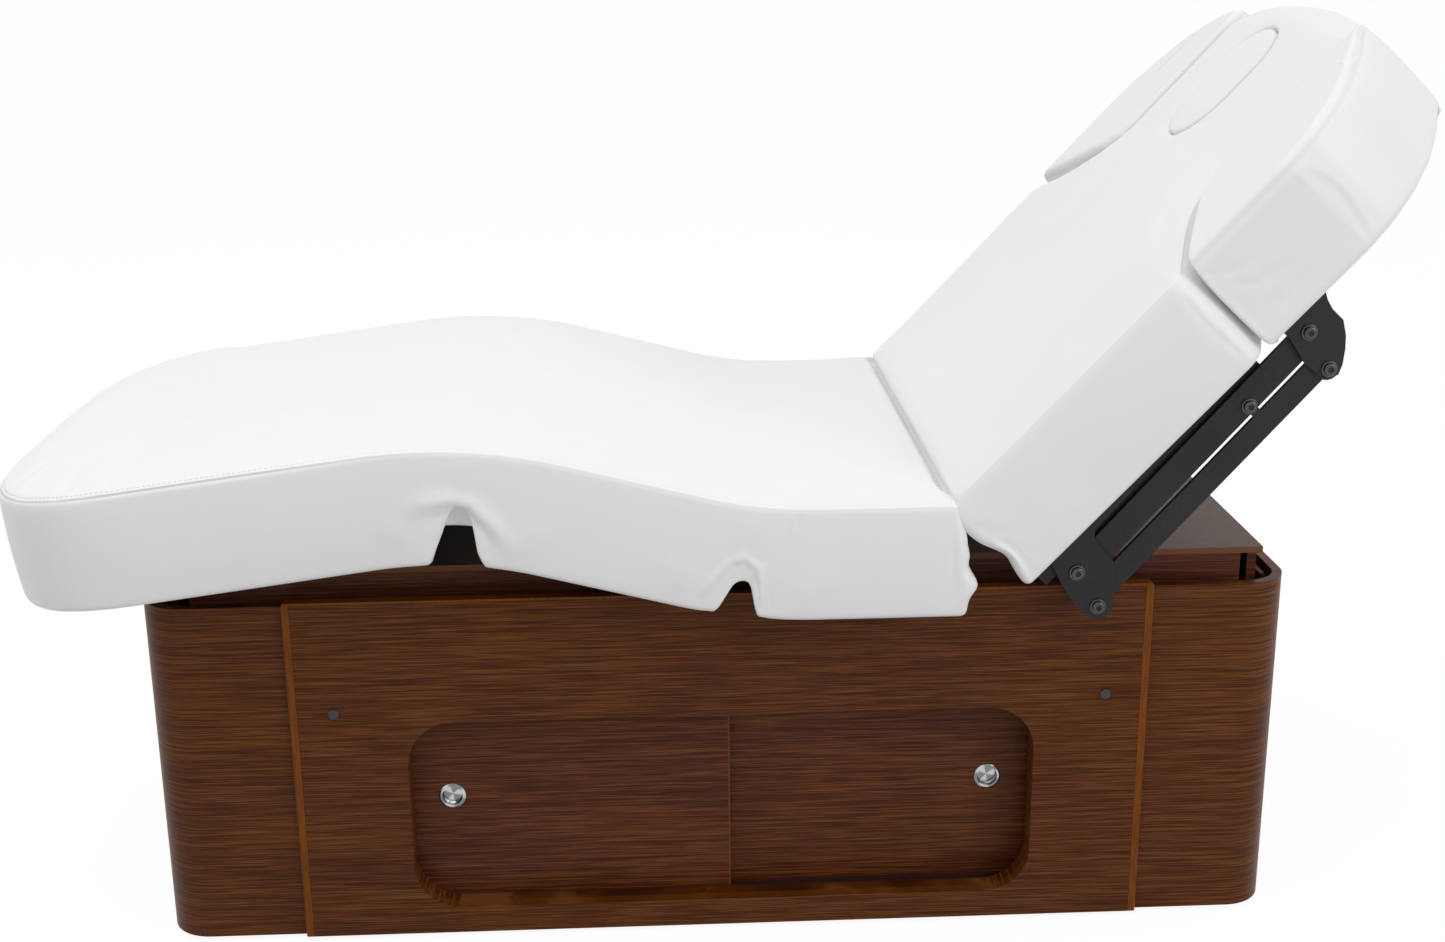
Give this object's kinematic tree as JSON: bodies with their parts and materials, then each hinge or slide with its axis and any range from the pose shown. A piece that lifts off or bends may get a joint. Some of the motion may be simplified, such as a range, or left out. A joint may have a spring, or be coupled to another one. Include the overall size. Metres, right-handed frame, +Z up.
{
  "type": "electric treatment table",
  "caption": "Electric treatment table: padded sectional mattress with raised backrest and knee break, drop-down arm pads, on a lifting wood cabinet with sliding doors.",
  "frame": {"origin": "on the floor, under the middle of the cabinet and of the table as it stands in its rest pose", "axes": "+X along the table from the foot end to the head end, +Y across it from the front with the doors to the back, +Z up"},
  "size_m": [1.769, 0.786, 1.1413],
  "materials": {
    "wood": "satin",
    "inner_wood": "satin",
    "edging": "satin",
    "support_board": "matte",
    "black_steel": "satin",
    "zinc_steel": "satin",
    "chrome": "polished",
    "white_leather": "satin",
    "dark_plastic": "matte",
    "rubber": "matte"
  },
  "bodies": {
    "base": {"end_shell_foot": "wood", "end_shell_head": "wood", "front_panel": "wood", "back_panel": "wood", "front_edging": "edging", "back_edging": "edging", "floor_board": "support_board", "levelling_foot_foot_near": "rubber", "levelling_foot_foot_far": "rubber", "levelling_foot_head_near": "rubber", "levelling_foot_head_far": "rubber", "screw_cap_left": "dark_plastic", "screw_cap_right": "dark_plastic", "door_track_lower": "edging", "door_track_upper": "edging", "storage_compartment": "inner_wood", "mains_inlet": "dark_plastic", "control_box": "dark_plastic", "column_outer_foot": "black_steel", "column_outer_head": "black_steel"},
    "door_left": {"door_left_panel": "wood", "door_left_pull": "chrome"},
    "door_right": {"door_right_panel": "wood", "door_right_pull": "chrome"},
    "mid_stage": {"column_middle_foot": "zinc_steel", "column_middle_head": "zinc_steel", "shroud_middle": "inner_wood"},
    "carriage": {"column_inner_foot": "zinc_steel", "column_inner_head": "zinc_steel", "inner_front_panel": "inner_wood", "inner_back_panel": "inner_wood", "inner_side_foot": "inner_wood", "inner_side_head": "inner_wood", "inner_top_panel": "inner_wood", "carriage_frame": "black_steel", "back_drive_housing": "dark_plastic", "leg_drive_housing": "dark_plastic", "seat_frame": "black_steel", "seat_cushion": "white_leather"},
    "back": {"back_frame": "black_steel", "back_cushion": "white_leather", "head_cushion": "white_leather", "arm_bracket_lower_near": "black_steel", "arm_bracket_lower_far": "black_steel"},
    "link_upper_near": {"arm_link_upper_near": "black_steel"},
    "link_lower_near": {"arm_link_lower_near": "black_steel"},
    "pad_near": {"arm_pad_near": "white_leather", "arm_bracket_upper_near": "black_steel"},
    "link_upper_far": {"arm_link_upper_far": "black_steel"},
    "link_lower_far": {"arm_link_lower_far": "black_steel"},
    "pad_far": {"arm_pad_far": "white_leather", "arm_bracket_upper_far": "black_steel"},
    "face_plug": {"face_hole_plug": "white_leather"},
    "thigh": {"thigh_frame": "black_steel", "thigh_cushion": "white_leather"},
    "calf": {"calf_frame": "black_steel", "calf_cushion": "white_leather"},
    "leg_link": {"leg_link": "black_steel"},
    "leg_rod": {"leg_drive_rod": "zinc_steel"},
    "back_rod": {"back_drive_rod": "zinc_steel"}
  },
  "joints": [
    {"name": "door_left_slide", "type": "slide", "parent": "base", "child": "door_left", "axis": [1, 0, 0], "range_m": [0, 0.39]},
    {"name": "door_right_slide", "type": "slide", "parent": "base", "child": "door_right", "axis": [1, 0, 0], "range_m": [-0.39, 0]},
    {"name": "lift", "type": "slide", "parent": "base", "child": "carriage", "axis": [0, 0, 1], "range_m": [0, 0.25]},
    {"name": "lift_middle", "type": "slide", "parent": "base", "child": "mid_stage", "axis": [0, 0, 1], "range_m": [0, 0.125]},
    {"name": "back_hinge", "type": "hinge", "parent": "carriage", "child": "back", "pos_m": [0.285, 0, 0.556], "axis": [0, -1, 0], "range_deg": [-46.5, 18.5]},
    {"name": "back_drive", "type": "slide", "parent": "carriage", "child": "back_rod", "axis": [1, 0, 0], "range_m": [-0.0882, 0.0351]},
    {"name": "thigh_hinge", "type": "hinge", "parent": "carriage", "child": "thigh", "pos_m": [0.044, 0, 0.58], "axis": [0, 1, 0], "range_deg": [-14.5, 8]},
    {"name": "knee_hinge", "type": "hinge", "parent": "thigh", "child": "calf", "pos_m": [-0.30453, 0, 0.67014], "axis": [0, 1, 0], "range_deg": [-12.2, 22.1]},
    {"name": "leg_link_pivot", "type": "hinge", "parent": "carriage", "child": "leg_link", "pos_m": [-0.3, 0, 0.445], "axis": [0, 1, 0], "range_deg": [-18.6, 10.3]},
    {"name": "leg_drive", "type": "slide", "parent": "carriage", "child": "leg_rod", "axis": [-1, 0, 0], "range_m": [-0.0318, 0.0176]},
    {"name": "face_plug_lift", "type": "slide", "parent": "back", "child": "face_plug", "axis": [-0.7254, 0, 0.6884], "range_m": [0, 0.12]},
    {"name": "arm_near", "type": "hinge", "parent": "back", "child": "link_upper_near", "pos_m": [0.42932, -0.3447, 0.49322], "axis": [0, 1, 0], "range_deg": [0, 32.6]},
    {"name": "arm_near_lower_link", "type": "hinge", "parent": "back", "child": "link_lower_near", "pos_m": [0.45672, -0.3447, 0.44874], "axis": [0, 1, 0], "range_deg": [0, 32.7]},
    {"name": "arm_near_pad", "type": "hinge", "parent": "link_upper_near", "child": "pad_near", "pos_m": [0.69042, -0.3447, 0.78494], "axis": [0, 1, 0], "range_deg": [-32.7, 0]},
    {"name": "arm_far", "type": "hinge", "parent": "back", "child": "link_upper_far", "pos_m": [0.42932, 0.3447, 0.49322], "axis": [0, 1, 0], "range_deg": [0, 32.6]},
    {"name": "arm_far_lower_link", "type": "hinge", "parent": "back", "child": "link_lower_far", "pos_m": [0.45672, 0.3447, 0.44874], "axis": [0, 1, 0], "range_deg": [0, 32.7]},
    {"name": "arm_far_pad", "type": "hinge", "parent": "link_upper_far", "child": "pad_far", "pos_m": [0.69042, 0.3447, 0.78494], "axis": [0, 1, 0], "range_deg": [-32.7, 0]}
  ],
  "couplings": [
    {"joint": "lift_middle", "follows": "lift", "ratio": 0.5},
    {"joint": "back_drive", "follows": "back_hinge", "m_per_rad": 0.10857},
    {"joint": "knee_hinge", "follows": "thigh_hinge", "ratio": -1.517},
    {"joint": "leg_link_pivot", "follows": "thigh_hinge", "ratio": 1.273},
    {"joint": "leg_drive", "follows": "thigh_hinge", "m_per_rad": 0.12518},
    {"joint": "arm_near_lower_link", "follows": "arm_near", "ratio": 1},
    {"joint": "arm_near_pad", "follows": "arm_near", "ratio": -1},
    {"joint": "arm_far_lower_link", "follows": "arm_far", "ratio": 1},
    {"joint": "arm_far_pad", "follows": "arm_far", "ratio": -1}
  ]
}
